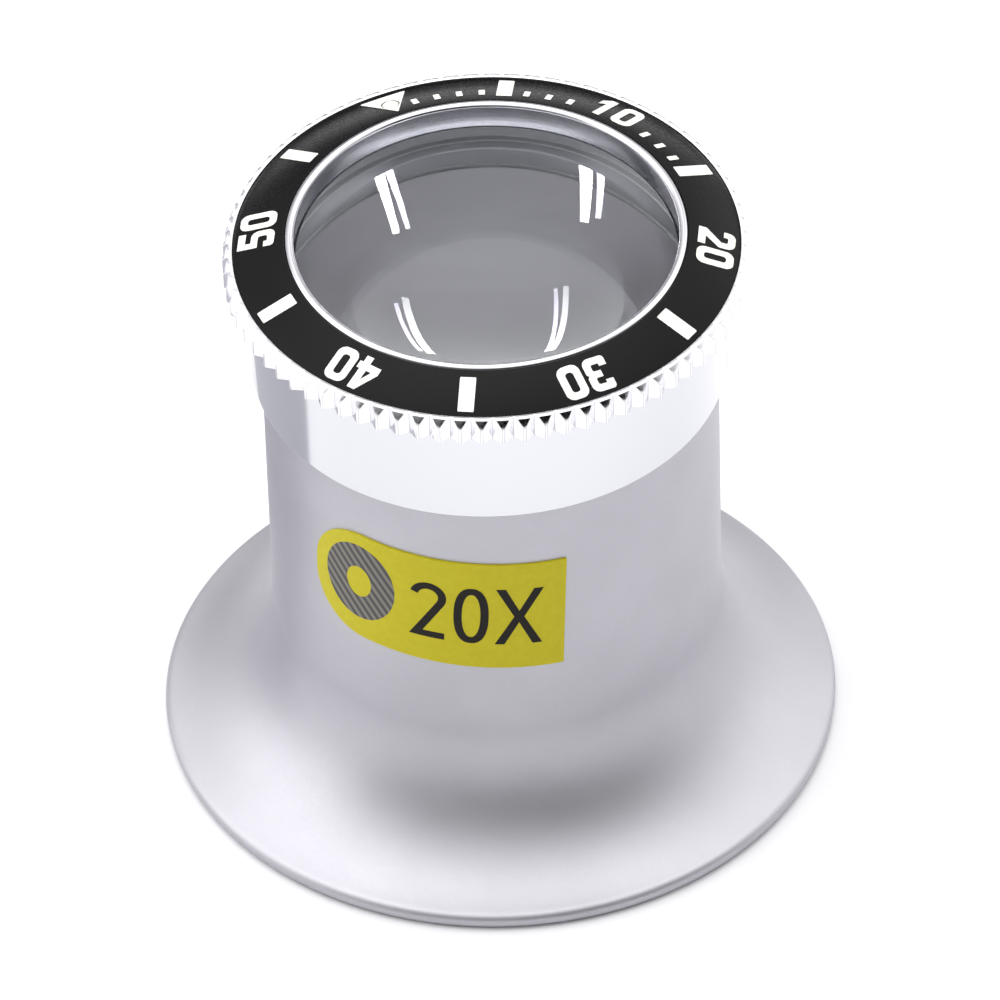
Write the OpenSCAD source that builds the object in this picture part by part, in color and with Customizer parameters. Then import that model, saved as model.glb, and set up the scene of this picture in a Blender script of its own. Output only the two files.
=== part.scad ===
// Watchmaker's eye loupe: a flared aluminium eye cup with a stack of two lenses in its neck,
// and a screw-on head that carries a coin-edge bezel with a black scale ring.
// Units are millimetres. Z is the optical axis, z = 0 is the rim that rests on the table,
// and the front, with the label, is the -Y side.

/* [Eye cup] */
// Diameter over the flared rim
rim_d = 37.5; // [34:0.5:44]
// Thickness of the full-round edge of the rim
rim_t = 1; // [0.8:0.1:1.4]
// Slope of the flare where it reaches the rim, from level
rim_slope = 17; // [5:1:35]
// Thickness of the tube and flare wall
cup_wall = 1.45; // [1:0.05:2]
// Height of the shoulder that the head screws down onto
shoulder_z = 25.6; // [22:0.2:30]
// Width of the shoulder around the threaded neck
shoulder_w = 0.3; // [0.2:0.05:0.8]
// Wall of the threaded neck, outside the lens seat
neck_wall = 1.2; // [0.9:0.05:1.6]
// How far the neck stops below the face of the upper lens's flange
neck_gap = 0.25; // [0.1:0.05:0.5]
// Lead-in chamfer at the top of the neck
neck_chamfer = 0.3; // [0.1:0.05:0.5]
// Width of the thread relief at the foot of the neck
relief_w = 0.8; // [0.4:0.1:1.5]
// Depth of the thread relief
relief_depth = 0.35; // [0.1:0.05:0.5]
// Thickness of the ledge that the lower lens rests on
ledge_t = 0.8; // [0.5:0.1:1.5]

/* [Lenses] */
// Diameter of both lenses over their flanges
lens_d = 21.8; // [20:0.1:24]
// Width of the flat seating flange around each lens
flange_w = 0.55; // [0.4:0.05:0.9]
// Thickness of the upper lens's flange
upper_flange_t = 3.6; // [2:0.1:4]
// Thickness of the lower lens's flange
lower_flange_t = 1.2; // [0.8:0.1:2]
// Height of the upper dome's edge above its flange
dome_step = 0.8; // [0.2:0.05:1]
// Radius of curvature of the upper lens's outer face
upper_curve_r = 30; // [20:0.5:60]
// Radius of curvature of the upper lens's inner face
inner_curve_r = 100; // [40:5:200]
// Radius of curvature of the lower lens's faces
lower_curve_r = 25; // [18:0.5:60]
// Air gap between the two domes on the axis
dome_gap = 0.4; // [0.2:0.1:1.5]
// Radial play of the lenses and the spacer in the neck
lens_play = 0.05; // [0.02:0.01:0.1]
// Radial room between a dome and the ring around it
dome_room = 0.05; // [0.02:0.01:0.2]

/* [Head] */
// Wall of the skirt that screws over the neck
skirt_wall = 0.8; // [0.6:0.05:1.2]
// Radial running clearance in the thread
thread_play = 0.05; // [0.02:0.01:0.1]
// Height from the skirt's lower edge to the seat of the bezel
skirt_h = 7.3; // [6:0.1:10]
// Thickness of the web that holds the lenses down
web_t = 0.45; // [0.35:0.05:0.8]
// Wall of the polished collar around the glass
collar_wall = 0.5; // [0.4:0.01:0.9]
// Height of the collar above the seat of the bezel
collar_h = 1.66; // [1.4:0.02:2.4]
// Thickness of the slip gasket between the web and the upper lens
gasket_t = 0.25; // [0.15:0.05:0.4]
// Chamfer on the outer lower edge of the skirt
skirt_chamfer = 0.15; // [0.05:0.05:0.3]
// Lead-in chamfer at the mouth of the skirt's thread
thread_lead = 0.25; // [0.1:0.05:0.25]

/* [Bezel] */
// How far the coin edge stands out from the skirt
bezel_overhang = 1.3; // [1:0.05:1.8]
// How far the bezel laps down over the skirt
bezel_lap = 0.7; // [0.4:0.05:1.2]
// Number of teeth in the coin edge
teeth = 78; // [60:1:100]
// Depth of the vee groove between two teeth
tooth_depth = 0.4; // [0.2:0.05:0.45]
// Width of the flat crest of a tooth
tooth_crest = 0.14; // [0.05:0.01:0.3]
// Width of the chamfer along the top of the teeth
chamfer_w = 0.25; // [0.2:0.05:0.5]
// Height of the chamfer along the top of the teeth
chamfer_h = 0.5; // [0.2:0.01:0.6]
// Width of the bright land between the insert and the chamfer
bezel_land = 0.3; // [0.25:0.01:0.6]
// How far the land stands above the outer edge of the insert
land_rise = 0.08; // [0.02:0.02:0.2]
// Thickness of the black insert
insert_t = 0.6; // [0.4:0.05:0.7]
// Slope of the insert, down and out from the collar
insert_slope = 18; // [10:1:22]
// How far the collar stands above the inner edge of the insert
collar_rise = 0.06; // [0.02:0.02:0.2]
// Diameter of the pearl at the zero of the scale
pearl_d = 0.9; // [0.5:0.05:1.2]
// Depth of the pocket that the pearl sits in
pearl_depth = 0.3; // [0.15:0.05:0.35]
// How far the pearl's dome stands above the insert
pearl_rise = 0.15; // [0.05:0.05:0.3]
// Direction of the zero, anticlockwise from the front
zero_angle = 204; // [0:1:359]

/* [Label] */
// Height of the label
label_h = 7.6; // [5:0.1:9]
// Width of the label, straight across
label_w = 14; // [8:0.5:18]
// Thickness of the label
label_t = 0.12; // [0.05:0.01:0.2]
// Distance of the label's upper edge below the shoulder
label_drop = 3.6; // [1:0.1:6]
// Radius of the two rounded corners at the label's left end
label_corner_r = 3.4; // [0.5:0.1:3.8]
// Direction that the label faces, anticlockwise from the front
label_angle = -16; // [-60:1:60]

/* [Hidden] */
$fn = 128;
eps = 0.01;

// Radii of the lens stack, from the glass outwards
lens_r = lens_d / 2;
dome_r = lens_r - flange_w;
seat_r = lens_r + lens_play;
ring_bore_r = dome_r + dome_room;
neck_r = seat_r + neck_wall;
relief_r = neck_r - relief_depth;
skirt_in_r = neck_r + thread_play;
skirt_r = skirt_in_r + skirt_wall;
collar_r = ring_bore_r + collar_wall;
bezel_r = skirt_r + bezel_overhang;
land_r = bezel_r - chamfer_w;
insert_r = land_r - bezel_land;

// Radii of the eye cup
tube_r = neck_r + shoulder_w;
bore_r = tube_r - cup_wall;
rim_edge_r = rim_t / 2;
rim_x = rim_d / 2 - rim_edge_r;

// The flare is one arc that leaves the tube upright and meets the rim's round at the slope
flare_turn = 90 - rim_slope;
flare_r = (rim_x - tube_r + rim_edge_r * cos(flare_turn)) / (1 - cos(flare_turn));
flare_x = tube_r + flare_r;
flare_z = rim_edge_r + (flare_r + rim_edge_r) * sin(flare_turn);
flare_end_x = rim_x + rim_edge_r * cos(flare_turn);

// Heights of the head, from the shoulder up
bezel_seat_z = shoulder_z + skirt_h;
ceiling_z = bezel_seat_z - web_t;
collar_top_z = bezel_seat_z + collar_h;
bezel_low_z = bezel_seat_z - bezel_lap;
insert_in_z = collar_top_z - collar_rise;
insert_out_z = insert_in_z - (insert_r - collar_r) * tan(insert_slope);
land_z = insert_out_z + land_rise;

// Heights of the lens stack, from the web down
function dome_h(curve_r) = curve_r - sqrt(curve_r * curve_r - dome_r * dome_r);
spacer_h = dome_h(inner_curve_r) + dome_gap + dome_h(lower_curve_r);
upper_lens_z = ceiling_z - gasket_t - upper_flange_t;
lower_lens_z = upper_lens_z - spacer_h - lower_flange_t;
neck_top_z = ceiling_z - gasket_t - neck_gap;
relief_top_z = shoulder_z + relief_w;
ledge_low_z = lower_lens_z - ledge_t;

// Place of the pearl, half way across the insert
pearl_r = pearl_d / 2;
pearl_x = (collar_r + insert_r) / 2;
pearl_z = (insert_in_z + insert_out_z) / 2;
pearl_dome_r = (pearl_r * pearl_r + pearl_rise * pearl_rise) / (2 * pearl_rise);

// Place of the label
label_low_z = shoulder_z - label_drop - label_h;

// A flat ring section from radius r0 to r1 and from height z0 to z1
module ring_section(r0, r1, z0, z1) {
    translate([r0, z0])
        square([r1 - r0, z1 - z0]);
}

// Section of the eye cup: solid flare, tube and neck, less the bell and a bore right through that is
// wider below the ledge and at the lens seat
module eye_cup_section() {
    difference() {
        union() {
            difference() {
                union() {
                    ring_section(0, rim_x, 0, flare_z);
                    ring_section(0, flare_end_x, rim_edge_r, flare_z);
                }
                translate([flare_x, flare_z])
                    circle(r = flare_r);
            }
            translate([rim_x, rim_edge_r])
                circle(r = rim_edge_r);
            ring_section(0, tube_r, flare_z, shoulder_z);
            polygon([[0, flare_z], [relief_r, flare_z], [relief_r, relief_top_z],
                     [neck_r, relief_top_z], [neck_r, neck_top_z - neck_chamfer],
                     [neck_r - neck_chamfer, neck_top_z], [0, neck_top_z]]);
        }
        difference() {
            ring_section(0, flare_x, -eps, flare_z);
            translate([flare_x, flare_z])
                circle(r = flare_r + cup_wall);
        }
        ring_section(0, ring_bore_r, -eps, neck_top_z + eps);
        ring_section(0, bore_r, flare_z, ledge_low_z);
        ring_section(0, seat_r, lower_lens_z, neck_top_z + eps);
    }
}

// Turned eye cup with its flared rim, tube, lens seat and threaded neck
module eye_cup() {
    color("silver")
        rotate_extrude()
            eye_cup_section();
}

// A lens whose flange stands on z = 0: a spherical face below, and one above that starts a step higher
module lens(flange_t, low_curve_r, high_curve_r, step) {
    low_z = -dome_h(low_curve_r);
    high_z = flange_t + step + dome_h(high_curve_r);
    cylinder(r = lens_r, h = flange_t);
    intersection() {
        translate([0, 0, low_z])
            cylinder(r = dome_r, h = high_z - low_z);
        translate([0, 0, low_z + low_curve_r])
            sphere(r = low_curve_r);
        translate([0, 0, high_z - high_curve_r])
            sphere(r = high_curve_r);
    }
}

module lower_lens() {
    color("lightcyan")
        translate([0, 0, lower_lens_z])
            lens(lower_flange_t, lower_curve_r, lower_curve_r, 0);
}

module upper_lens() {
    color("lightcyan")
        translate([0, 0, upper_lens_z])
            lens(upper_flange_t, inner_curve_r, upper_curve_r, dome_step);
}

// Ring that keeps the two lenses apart
module lens_spacer() {
    color("gray")
        rotate_extrude()
            ring_section(ring_bore_r, lens_r, upper_lens_z - spacer_h, upper_lens_z);
}

// Slip gasket under the web of the head, on the flange of the upper lens
module lens_gasket() {
    color("dimgray")
        rotate_extrude()
            ring_section(ring_bore_r, lens_r, ceiling_z - gasket_t, ceiling_z);
}

// Head that screws over the neck: skirt, web and collar in one turned piece
module head_cap() {
    lip_r = collar_wall / 2;
    color("gainsboro")
        rotate_extrude() {
            polygon([[skirt_in_r, shoulder_z + thread_lead], [skirt_in_r + thread_lead, shoulder_z],
                     [skirt_r - skirt_chamfer, shoulder_z], [skirt_r, shoulder_z + skirt_chamfer],
                     [skirt_r, bezel_seat_z], [ring_bore_r, bezel_seat_z], [ring_bore_r, ceiling_z],
                     [skirt_in_r, ceiling_z]]);
            ring_section(ring_bore_r, collar_r, bezel_seat_z, collar_top_z - lip_r);
            translate([ring_bore_r + lip_r, collar_top_z - lip_r])
                circle(r = lip_r);
        }
}

// Outline of the coin edge: a flat crest and a straight-sided vee groove to each tooth
module coin_edge_outline() {
    pitch = 360 / teeth;
    crest = asin(tooth_crest / 2 / bezel_r);
    polygon([for (i = [0 : teeth - 1], corner = [[bezel_r, -crest], [bezel_r, crest],
                                                 [bezel_r - tooth_depth, pitch / 2]])
        let (a = i * pitch + corner[1])
        [corner[0] * cos(a), corner[0] * sin(a)]]);
}

// Bezel ring: pressed over the skirt and the collar, with a recess for the insert.
// The blank is turned a little over size, so that the grooves alone shape the teeth.
module bezel_ring() {
    blank_r = bezel_r + eps;
    chamfer_low_z = land_z - chamfer_h * (chamfer_w + eps) / chamfer_w;
    color("white")
        intersection() {
            rotate_extrude()
                polygon([[skirt_r, bezel_low_z], [blank_r, bezel_low_z],
                         [blank_r, chamfer_low_z], [land_r, land_z], [insert_r, land_z],
                         [insert_r, insert_out_z - insert_t], [collar_r, insert_in_z - insert_t],
                         [collar_r, bezel_seat_z], [skirt_r, bezel_seat_z]]);
            translate([0, 0, bezel_low_z - eps])
                linear_extrude(land_z - bezel_low_z + 2 * eps)
                    coin_edge_outline();
        }
}

// Puts its children on the slope of the insert, at the zero of the scale
module at_zero() {
    rotate(zero_angle - 90)
        translate([pearl_x, 0, pearl_z])
            rotate([0, insert_slope, 0])
                children();
}

// Black sloping ring that carries the scale, with a pocket for the pearl
module bezel_insert() {
    color("black")
        difference() {
            rotate_extrude()
                polygon([[collar_r, insert_in_z], [insert_r, insert_out_z],
                         [insert_r, insert_out_z - insert_t], [collar_r, insert_in_z - insert_t]]);
            at_zero()
                translate([0, 0, -pearl_depth])
                    cylinder(r = pearl_r, h = pearl_depth + pearl_rise);
        }
}

// Domed pearl that marks the zero
module bezel_pearl() {
    color("ivory")
        at_zero()
            intersection() {
                translate([0, 0, -pearl_depth])
                    cylinder(r = pearl_r, h = pearl_depth + pearl_rise);
                translate([0, 0, pearl_rise - pearl_dome_r])
                    sphere(r = pearl_dome_r);
            }
}

// Outline of the label as seen straight on, with its left end rounded
module label_outline() {
    corner_r = min(label_corner_r, label_h / 2);
    translate([corner_r - label_w / 2, 0])
        square([label_w - corner_r, label_h]);
    translate([-label_w / 2, corner_r])
        square([corner_r, label_h - 2 * corner_r]);
    for (z = [corner_r, label_h - corner_r])
        translate([corner_r - label_w / 2, z])
            circle(r = corner_r);
}

// Yellow label wrapped around the tube
module magnification_label() {
    color("gold")
        intersection() {
            rotate_extrude()
                ring_section(tube_r, tube_r + label_t, label_low_z, label_low_z + label_h);
            rotate(label_angle)
                translate([0, 0, label_low_z])
                    rotate([90, 0, 0])
                        linear_extrude(tube_r + 1)
                            label_outline();
        }
}

eye_cup();
lower_lens();
lens_spacer();
upper_lens();
lens_gasket();
head_cap();
bezel_ring();
bezel_insert();
bezel_pearl();
magnification_label();
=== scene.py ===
# Eye loupe of the kind that watchmakers and film inspectors use: a flared aluminium eye cup, two lenses
# in its neck, and a screw-on head with a coin-edge ring and a black scale ring.
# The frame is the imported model's: metres, Z along the optical axis, z = 0 at the rim, label side -Y.
import math

import bmesh
import bpy
from mathutils import Matrix, Vector


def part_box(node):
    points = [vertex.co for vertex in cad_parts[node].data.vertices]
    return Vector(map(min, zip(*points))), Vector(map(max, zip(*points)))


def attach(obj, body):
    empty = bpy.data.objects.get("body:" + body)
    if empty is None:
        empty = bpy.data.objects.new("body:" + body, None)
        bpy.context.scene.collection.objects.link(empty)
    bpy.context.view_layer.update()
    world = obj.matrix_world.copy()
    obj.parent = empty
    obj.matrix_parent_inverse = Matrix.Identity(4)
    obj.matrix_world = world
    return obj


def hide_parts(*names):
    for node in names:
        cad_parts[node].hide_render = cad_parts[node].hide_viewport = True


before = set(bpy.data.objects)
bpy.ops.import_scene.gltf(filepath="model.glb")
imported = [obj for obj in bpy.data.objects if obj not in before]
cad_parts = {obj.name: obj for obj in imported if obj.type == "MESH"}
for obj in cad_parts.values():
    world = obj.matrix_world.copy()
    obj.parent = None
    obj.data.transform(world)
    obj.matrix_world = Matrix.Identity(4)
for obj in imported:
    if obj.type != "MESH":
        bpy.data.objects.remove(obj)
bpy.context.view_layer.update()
scene = bpy.context.scene
scene.view_settings.view_transform = "Standard"


# Camera: a long lens 0.6 m away, in front of the label and 43 degrees above the table.
# It is tilted a little to the side, and it aims just beside the middle of the tube.
mm = 0.001
view_height = math.radians(43.09)
view_tilt = math.radians(-1.81)
camera_distance = 600
aim_right, aim_up = 0.314, -0.551
tube_middle = Vector((0, 0, 15.5 * mm))
level_up = Vector((0, math.sin(view_height), math.cos(view_height)))
level_right = Vector((1, 0, 0))
tilted_right = level_right * math.cos(view_tilt) + level_up * math.sin(view_tilt)
tilted_up = level_up * math.cos(view_tilt) - level_right * math.sin(view_tilt)
camera_place = tube_middle + Vector((0, -math.cos(view_height), math.sin(view_height))) * camera_distance * mm
aim_point = tube_middle + tilted_right * aim_right * mm + tilted_up * aim_up * mm
camera_back = (camera_place - aim_point).normalized()
camera_right = tilted_up.cross(camera_back).normalized()
camera_up = camera_back.cross(camera_right)
camera = bpy.data.objects.new("camera", bpy.data.cameras.new("camera"))
camera.data.sensor_width = 36
camera.data.lens = 392.3
camera.matrix_world = (Matrix.Translation(camera_place)
                       @ Matrix((camera_right, camera_up, camera_back)).transposed().to_4x4())
scene.collection.objects.link(camera)
scene.camera = camera


# Eye cup: turned from aluminium bar in one piece, with a flare that fits the eye socket, a straight tube,
# a bored seat for the lenses and a fine thread on the neck. Bead blasted and clear anodised.
cup_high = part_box("eye_cup")[1]
head_low, head_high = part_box("head_cap")
rim_r = cup_high.x / mm
rim_edge_r = 0.5
rim_flat = 0.7
rim_slope = 17
tube_r = 12.45
cup_wall = 1.45
bore_r = tube_r - cup_wall
shoulder_z = head_low.z / mm
shoulder_edge_r = 0.12
neck_r = 12.15
neck_top_z = cup_high.z / mm
neck_chamfer = 0.3
relief_r = 11.8
relief_top_z = shoulder_z + 0.8
relief_lead = 0.05
seat_r = 10.95
seat_chamfer = 0.1
ledge_r = 10.4
lens_below_ledge = 2.243
ledge_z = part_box("lower_lens")[0].z / mm + lens_below_ledge
ledge_t = 0.8
thread_pitch = 0.75
thread_depth = 0.4
thread_run_out = 0.3


def hex_colour(code):
    """A linear colour from an sRGB hex code."""
    parts = [int(code[i:i + 2], 16) / 255 for i in (1, 3, 5)]
    return [c / 12.92 if c <= 0.04045 else ((c + 0.055) / 1.055) ** 2.4 for c in parts] + [1]


def add(tree, kind, inputs=(), **settings):
    """Adds a node to a tree with its settings, and sets or links its inputs."""
    node = tree.nodes.new(kind)
    for key, value in settings.items():
        setattr(node, key, value)
    for key, value in dict(inputs).items():
        if isinstance(value, bpy.types.NodeSocket):
            tree.links.new(value, node.inputs[key])
        else:
            node.inputs[key].default_value = value
    return node


def surface(name, **sockets):
    """A new material with values on its shader's sockets, and its node tree."""
    material = bpy.data.materials.new(name)
    material.use_nodes = True
    shader = material.node_tree.nodes["Principled BSDF"]
    for key, value in sockets.items():
        shader.inputs[key.replace("_", " ")].default_value = value
    return material, material.node_tree, shader


def arc(x, z, radius, start, end, steps):
    """Points of a profile along an arc, from one angle to another in degrees."""
    angles = [math.radians(start + (end - start) * k / steps) for k in range(steps + 1)]
    return [(x + radius * math.cos(a), z + radius * math.sin(a)) for a in angles]


def part(name, mesh, material):
    """Links a mesh as a piece of the object: smooth, with its real edges sharp."""
    if not mesh.materials:
        mesh.materials.append(material)
    mesh.shade_smooth()
    mesh.set_sharp_from_angle(angle=math.radians(32))
    piece = bpy.data.objects.new(name, mesh)
    scene.collection.objects.link(piece)
    return piece


def turned(name, profile, material, sides=256, thread=None):
    """A turned piece: a closed profile of (radius, height) in mm, up on its outside, spun about the axis."""
    points, rings, faces = [], [], []
    for r, z in profile:
        around = sides if r > 0 else 1
        rings.append(range(len(points), len(points) + around))
        for k in range(around):
            a = 2 * math.pi * k / sides
            cut_r = thread(r, z, k / sides) if thread else r
            points.append((cut_r * math.cos(a) * mm, cut_r * math.sin(a) * mm, z * mm))
    for low, high in zip(rings, rings[1:] + rings[:1]):
        for k in range(sides if len(low) + len(high) > 2 else 0):
            corners = [low[k % len(low)], low[(k + 1) % sides % len(low)],
                       high[(k + 1) % sides % len(high)], high[k % len(high)]]
            faces.append(list(dict.fromkeys(corners)))
    mesh = bpy.data.meshes.new(name)
    mesh.from_pydata(points, [], faces)
    return part(name, mesh, material)


def male_thread(r, z, turn):
    """Cuts a right-hand vee thread into the neck, running out at both ends."""
    if r != neck_r:
        return r
    rise = abs((z / thread_pitch - turn) % 1 - 0.5) * 2
    from_end = min(z - relief_top_z, neck_top_z - neck_chamfer - z)
    return r - thread_depth * rise * min(1, max(0, from_end / thread_run_out))


# Bead blasting leaves an even, fine-pitted satin, and the clear anodising keeps it pale, with a cool tint.
# The pits are about 0.06 mm across and are drawn at 0.12 mm so that they show.
blasted, tree, shader = surface("bead_blasted_anodised_aluminium", Metallic=1, Roughness=0.5)
place = add(tree, "ShaderNodeTexCoord").outputs["Object"]
pits = add(tree, "ShaderNodeTexNoise", {"Vector": place, "Scale": 1 / (0.12 * mm), "Detail": 3})
cloud = add(tree, "ShaderNodeTexNoise", {"Vector": place, "Scale": 1 / (6 * mm), "Detail": 4})
tone = add(tree, "ShaderNodeValToRGB", {"Fac": cloud.outputs["Fac"]})
tone.color_ramp.elements[0].position, tone.color_ramp.elements[1].position = 0.3, 0.7
tone.color_ramp.elements[0].color = hex_colour("#B5B4BA")
tone.color_ramp.elements[1].color = hex_colour("#BBBAC0")
gloss = add(tree, "ShaderNodeMapRange", {"Value": pits.outputs["Fac"], "From Min": 0.3, "From Max": 0.7,
                                         "To Min": 0.46, "To Max": 0.54})
dents = add(tree, "ShaderNodeBump", {"Height": pits.outputs["Fac"], "Strength": 0.25, "Distance": 0.01 * mm})
tree.links.new(tone.outputs["Color"], shader.inputs["Base Color"])
tree.links.new(gloss.outputs["Result"], shader.inputs["Roughness"])
tree.links.new(dents.outputs["Normal"], shader.inputs["Normal"])

flare_turn = math.radians(90 - rim_slope)
rim_x = rim_r - rim_edge_r
flare_r = (rim_x - tube_r + rim_edge_r * math.cos(flare_turn)) / (1 - math.cos(flare_turn))
flare_x = tube_r + flare_r
flare_z = rim_edge_r + (flare_r + rim_edge_r) * math.sin(flare_turn)
bell_end = 180 + math.degrees(math.asin(flare_z / (flare_r + cup_wall)))
thread_rows = [relief_top_z + (neck_top_z - neck_chamfer - relief_top_z) * k / 70 for k in range(71)]
cup = turned("cup", (
    [(rim_x - rim_flat, 0)]
    + arc(rim_x, rim_edge_r, rim_edge_r, -90, 90 - rim_slope, 16)
    + arc(flare_x, flare_z, flare_r, 270 - rim_slope, 180, 56)[1:]
    + arc(tube_r - shoulder_edge_r, shoulder_z - shoulder_edge_r, shoulder_edge_r, 0, 90, 4)
    + [(relief_r, shoulder_z), (relief_r, relief_top_z - relief_lead)]
    + [(neck_r, z) for z in thread_rows]
    + [(neck_r - neck_chamfer, neck_top_z), (seat_r + seat_chamfer, neck_top_z),
       (seat_r, neck_top_z - seat_chamfer), (seat_r, ledge_z), (ledge_r, ledge_z),
       (ledge_r, ledge_z - ledge_t), (bore_r, ledge_z - ledge_t)]
    + arc(flare_x, flare_z, flare_r + cup_wall, 180, bell_end, 40)), blasted, thread=male_thread)
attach(cup, "barrel")
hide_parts("eye_cup")


# Lenses: two ground and polished glass lenses with a flat flange. The lower one rests on the cup's ledge,
# and the upper one, thick and almost flat inside, is the dome that shows in the head.
lens_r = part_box("upper_lens")[1].x / mm
dome_r = 10.35
lower_curve_r = 25
flange_edge_r = 0.08

# Crown glass, clear and polished. A coating lowers its reflections to about a sixth and tints them faintly
# violet. Light goes through four faces on its way in and out, so its paths are long.
glass, tree, shader = surface("coated_crown_glass", Roughness=0, IOR=1.52, Transmission_Weight=1)
shader.inputs["Specular Tint"].default_value = hex_colour("#706E78")
shader.inputs["Base Color"].default_value = hex_colour("#FBFCFD")
scene.cycles.max_bounces, scene.cycles.transmission_bounces, scene.cycles.glossy_bounces = 32, 24, 12

# The edge of a lens is ground and left matt, which makes it whitish, with a fine grit of about 0.1 mm.
ground_edge, tree, shader = surface("ground_glass_edge", Roughness=0.8)
shader.inputs["Base Color"].default_value = hex_colour("#D4D6D9")
place = add(tree, "ShaderNodeTexCoord").outputs["Object"]
grit = add(tree, "ShaderNodeTexNoise", {"Vector": place, "Scale": 1 / (0.1 * mm), "Detail": 3})
ground = add(tree, "ShaderNodeBump", {"Height": grit.outputs["Fac"], "Strength": 0.3, "Distance": 0.01 * mm})
tree.links.new(ground.outputs["Normal"], shader.inputs["Normal"])

for lens_name, node, low_curve_r, high_curve_r, step in (
        ("glass_lower", "lower_lens", lower_curve_r, lower_curve_r, 0),
        ("glass_upper", "upper_lens", 100, 30, 0.8)):
    lens_low, lens_high = (corner.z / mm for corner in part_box(node))
    low_turn, high_turn = (math.asin(dome_r / r) for r in (low_curve_r, high_curve_r))
    flange_low = lens_low + low_curve_r * (1 - math.cos(low_turn))
    flange_high = lens_high - high_curve_r * (1 - math.cos(high_turn)) - step
    lens = turned(lens_name, (
        [(0, lens_low)]
        + arc(0, lens_low + low_curve_r, low_curve_r, -90, math.degrees(low_turn) - 90, 36)[1:]
        + arc(lens_r - flange_edge_r, flange_low + flange_edge_r, flange_edge_r, -90, 0, 3)
        + arc(lens_r - flange_edge_r, flange_high - flange_edge_r, flange_edge_r, 0, 90, 3)
        + [(dome_r, flange_high)] * (step > 0)
        + arc(0, lens_high - high_curve_r, high_curve_r, 90 - math.degrees(high_turn), 90, 36)[:-1]
        + [(0, lens_high)]), glass, sides=192)
    lens.data.materials.append(ground_edge)
    for face in lens.data.polygons:
        if Vector(face.center[:2]).length > (dome_r - 0.1) * mm:
            face.material_index = 1
    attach(lens, "barrel")
    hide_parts(node)


# Lens spacer: a plain turned aluminium ring that drops into the neck and keeps the two lenses apart.
# It is left as turned, with its tool marks.
spacer_low, spacer_high = (corner.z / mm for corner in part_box("lens_spacer"))
spacer_chamfer = 0.06

# A turning tool leaves fine rings, 0.15 mm apart, with a brighter and a duller side.
as_turned, tree, shader = surface("as_turned_aluminium", Metallic=1, Roughness=0.35)
shader.inputs["Base Color"].default_value = hex_colour("#B4B4B8")
place = add(tree, "ShaderNodeTexCoord").outputs["Object"]
rings = add(tree, "ShaderNodeTexWave", {"Vector": place, "Scale": 0.314 / (0.15 * mm), "Distortion": 0.6},
            bands_direction="Z", wave_profile="SAW")
marks = add(tree, "ShaderNodeBump", {"Height": rings.outputs["Fac"], "Strength": 0.3, "Distance": 0.01 * mm})
gloss = add(tree, "ShaderNodeMapRange", {"Value": rings.outputs["Fac"], "To Min": 0.28, "To Max": 0.42})
tree.links.new(gloss.outputs["Result"], shader.inputs["Roughness"])
tree.links.new(marks.outputs["Normal"], shader.inputs["Normal"])

spacer = turned("spacer", [
    (ledge_r + spacer_chamfer, spacer_low), (lens_r - spacer_chamfer, spacer_low),
    (lens_r, spacer_low + spacer_chamfer), (lens_r, spacer_high - spacer_chamfer),
    (lens_r - spacer_chamfer, spacer_high), (ledge_r + spacer_chamfer, spacer_high),
    (ledge_r, spacer_high - spacer_chamfer), (ledge_r, spacer_low + spacer_chamfer)], as_turned, sides=192)
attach(spacer, "barrel")
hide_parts("lens_spacer")


# Slip gasket: a thin rubber washer on the upper lens's flange. It lets the head turn without dragging
# the lens round.
gasket_low, gasket_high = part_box("lens_gasket")
gasket_in_r = 10.4

# Nitrile rubber, moulded with a faint grain of about 0.2 mm, and matt.
rubber, tree, shader = surface("moulded_nitrile_rubber", Roughness=0.75)
shader.inputs["Base Color"].default_value = hex_colour("#3A3A3D")
place = add(tree, "ShaderNodeTexCoord").outputs["Object"]
grain = add(tree, "ShaderNodeTexNoise", {"Vector": place, "Scale": 1 / (0.2 * mm), "Detail": 4})
skin = add(tree, "ShaderNodeBump", {"Height": grain.outputs["Fac"], "Strength": 0.4, "Distance": 0.02 * mm})
gloss = add(tree, "ShaderNodeMapRange", {"Value": grain.outputs["Fac"], "To Min": 0.65, "To Max": 0.85})
tree.links.new(gloss.outputs["Result"], shader.inputs["Roughness"])
tree.links.new(skin.outputs["Normal"], shader.inputs["Normal"])

gasket_round = (gasket_high.z - gasket_low.z) / mm / 2
gasket_mid_z = (gasket_high.z + gasket_low.z) / mm / 2
gasket = turned("gasket", (
    arc(gasket_high.x / mm - gasket_round, gasket_mid_z, gasket_round, -90, 90, 8)
    + arc(gasket_in_r + gasket_round, gasket_mid_z, gasket_round, 90, 270, 8)), rubber, sides=192)
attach(gasket, "gasket")
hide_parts("lens_gasket")


# Head: a turned aluminium cap that screws over the neck down to the shoulder. Its web holds the lenses,
# and its collar stands round the glass as a bright lip. Polished, then clear anodised.
skirt_r = head_high.x / mm
skirt_in_r = 12.2
skirt_chamfer = 0.25
skirt_edge_r = 0.15
ceiling_z = gasket_high.z / mm
groove_top_z = ceiling_z - 0.5
groove_depth = 0.3
bezel_seat_z = ceiling_z + 0.45
opening_r = 10.4
opening_edge_r = 0.12
collar_r = 10.9
collar_top_z = head_high.z / mm
lip_r = (collar_r - opening_r) / 2


def female_thread(r, z, turn):
    """Cuts the matching grooves into the inside of the skirt."""
    if r != skirt_in_r or z > groove_top_z:
        return r
    rise = 1 - abs((z / thread_pitch - turn) % 1 - 0.5) * 2
    return r + groove_depth * rise * min(1, (groove_top_z - z) / thread_run_out)


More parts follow.
